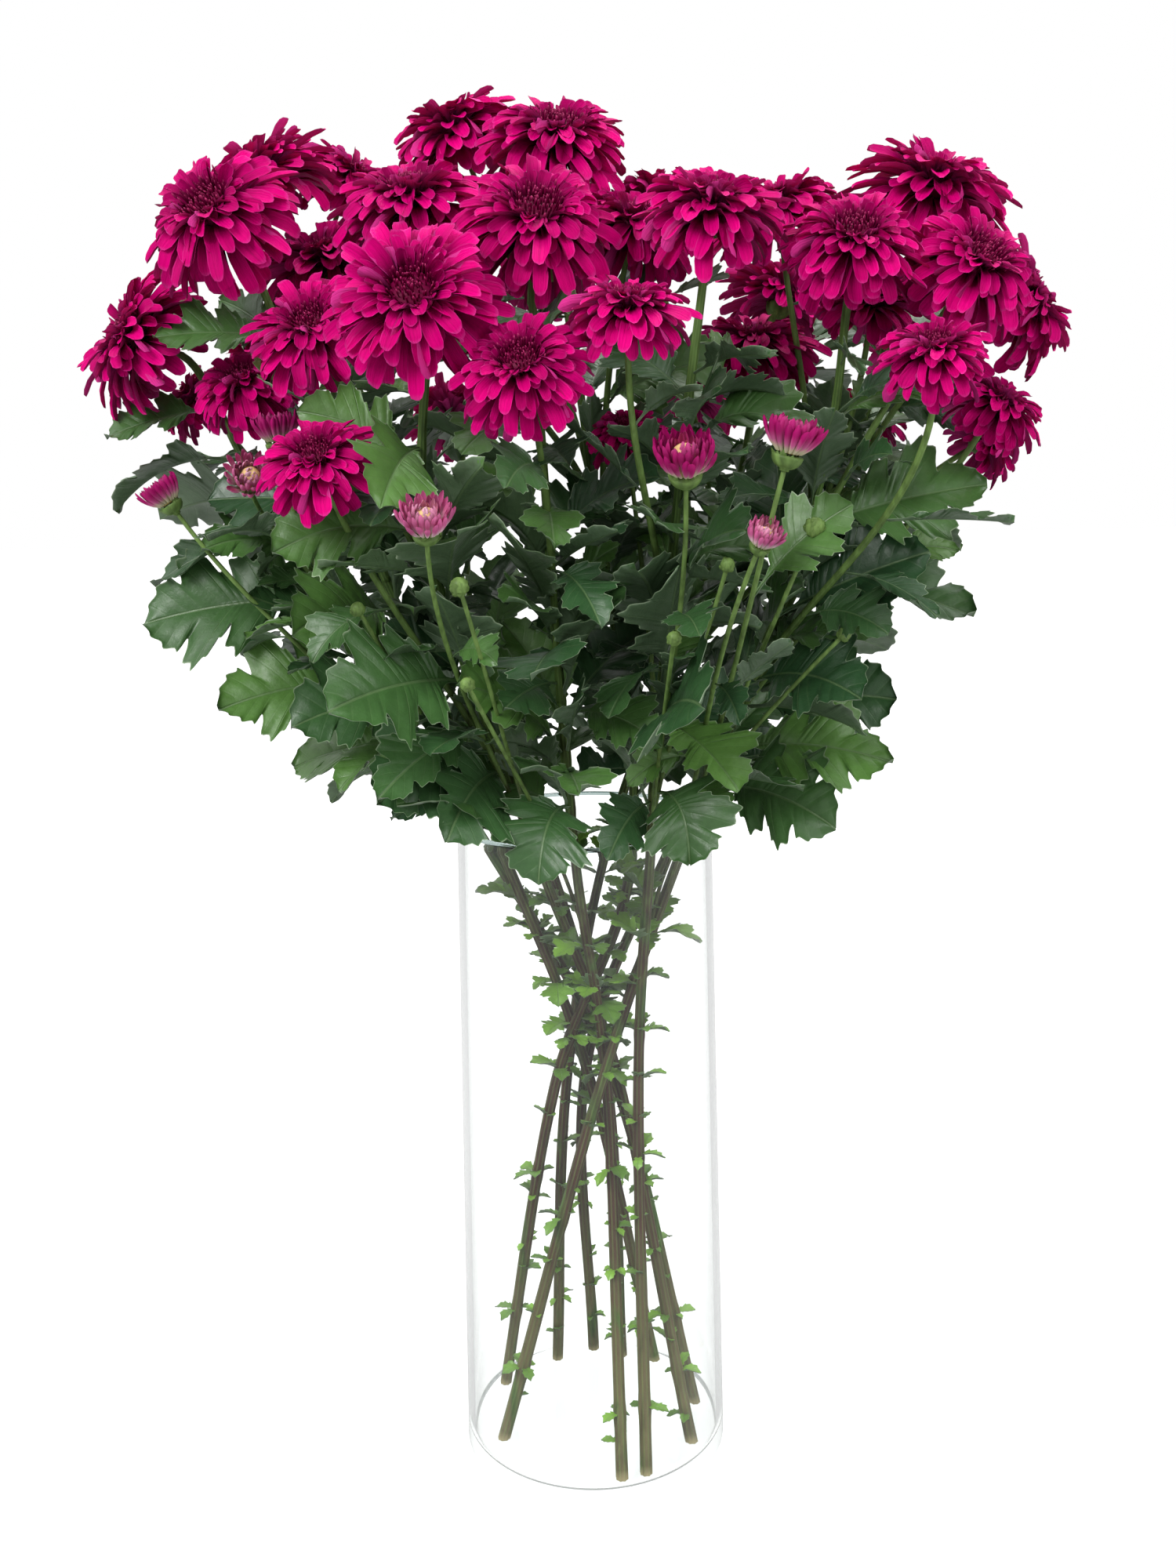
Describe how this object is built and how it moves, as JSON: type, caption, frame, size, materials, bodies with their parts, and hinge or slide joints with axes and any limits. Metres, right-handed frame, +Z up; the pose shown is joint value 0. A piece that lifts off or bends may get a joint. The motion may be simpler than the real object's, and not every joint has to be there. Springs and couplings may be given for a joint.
{
  "type": "chrysanthemums in a jar",
  "caption": "Spray chrysanthemums with magenta double blooms and lobed leaves, standing in a tall straight-sided clear glass jar.",
  "frame": {"origin": "centre of the jar's underside, on the surface it stands on", "axes": "+Z up along the jar's axis, +X to the right and -Y towards the viewer of the picture"},
  "size_m": [0.5529, 0.4119, 0.793],
  "materials": {
    "glass": "clear polished",
    "greenery": "satin",
    "petals": "velvety matte",
    "bud_petals": "velvety matte"
  },
  "bodies": {
    "root": {"jar": "glass", "stem_a": "greenery", "stem_b": "greenery", "stem_c": "greenery", "stem_d": "greenery", "stem_e": "greenery", "stem_f": "greenery", "stem_g": "greenery", "stem_h": "greenery", "stem_i": "greenery", "stem_j": "greenery", "bloom_01": "petals", "bloom_02": "petals", "bloom_03": "petals", "bloom_04": "petals", "bloom_05": "petals", "bloom_06": "petals", "bloom_07": "petals", "bloom_08": "petals", "bloom_09": "petals", "bloom_10": "petals", "bloom_11": "petals", "bloom_12": "petals", "bloom_13": "petals", "bloom_14": "petals", "bloom_15": "petals", "bloom_16": "petals", "bloom_17": "petals", "bloom_18": "petals", "bloom_19": "petals", "bloom_20": "petals", "bloom_21": "petals", "bloom_22": "petals", "bloom_23": "petals", "bloom_24": "petals", "bloom_25": "petals", "bloom_26": "petals", "bloom_27": "petals", "bloom_28": "petals", "bloom_29": "petals", "bloom_30": "petals", "bloom_31": "petals", "bloom_32": "petals", "bloom_33": "petals", "bloom_34": "petals", "bloom_35": "petals", "bloom_36": "petals", "bloom_37": "petals", "bloom_38": "petals", "bud_1": "bud_petals", "bud_2": "bud_petals", "bud_3": "bud_petals", "bud_4": "bud_petals", "bud_5": "bud_petals", "bud_6": "bud_petals", "bud_7": "bud_petals"}
  },
  "joints": []
}
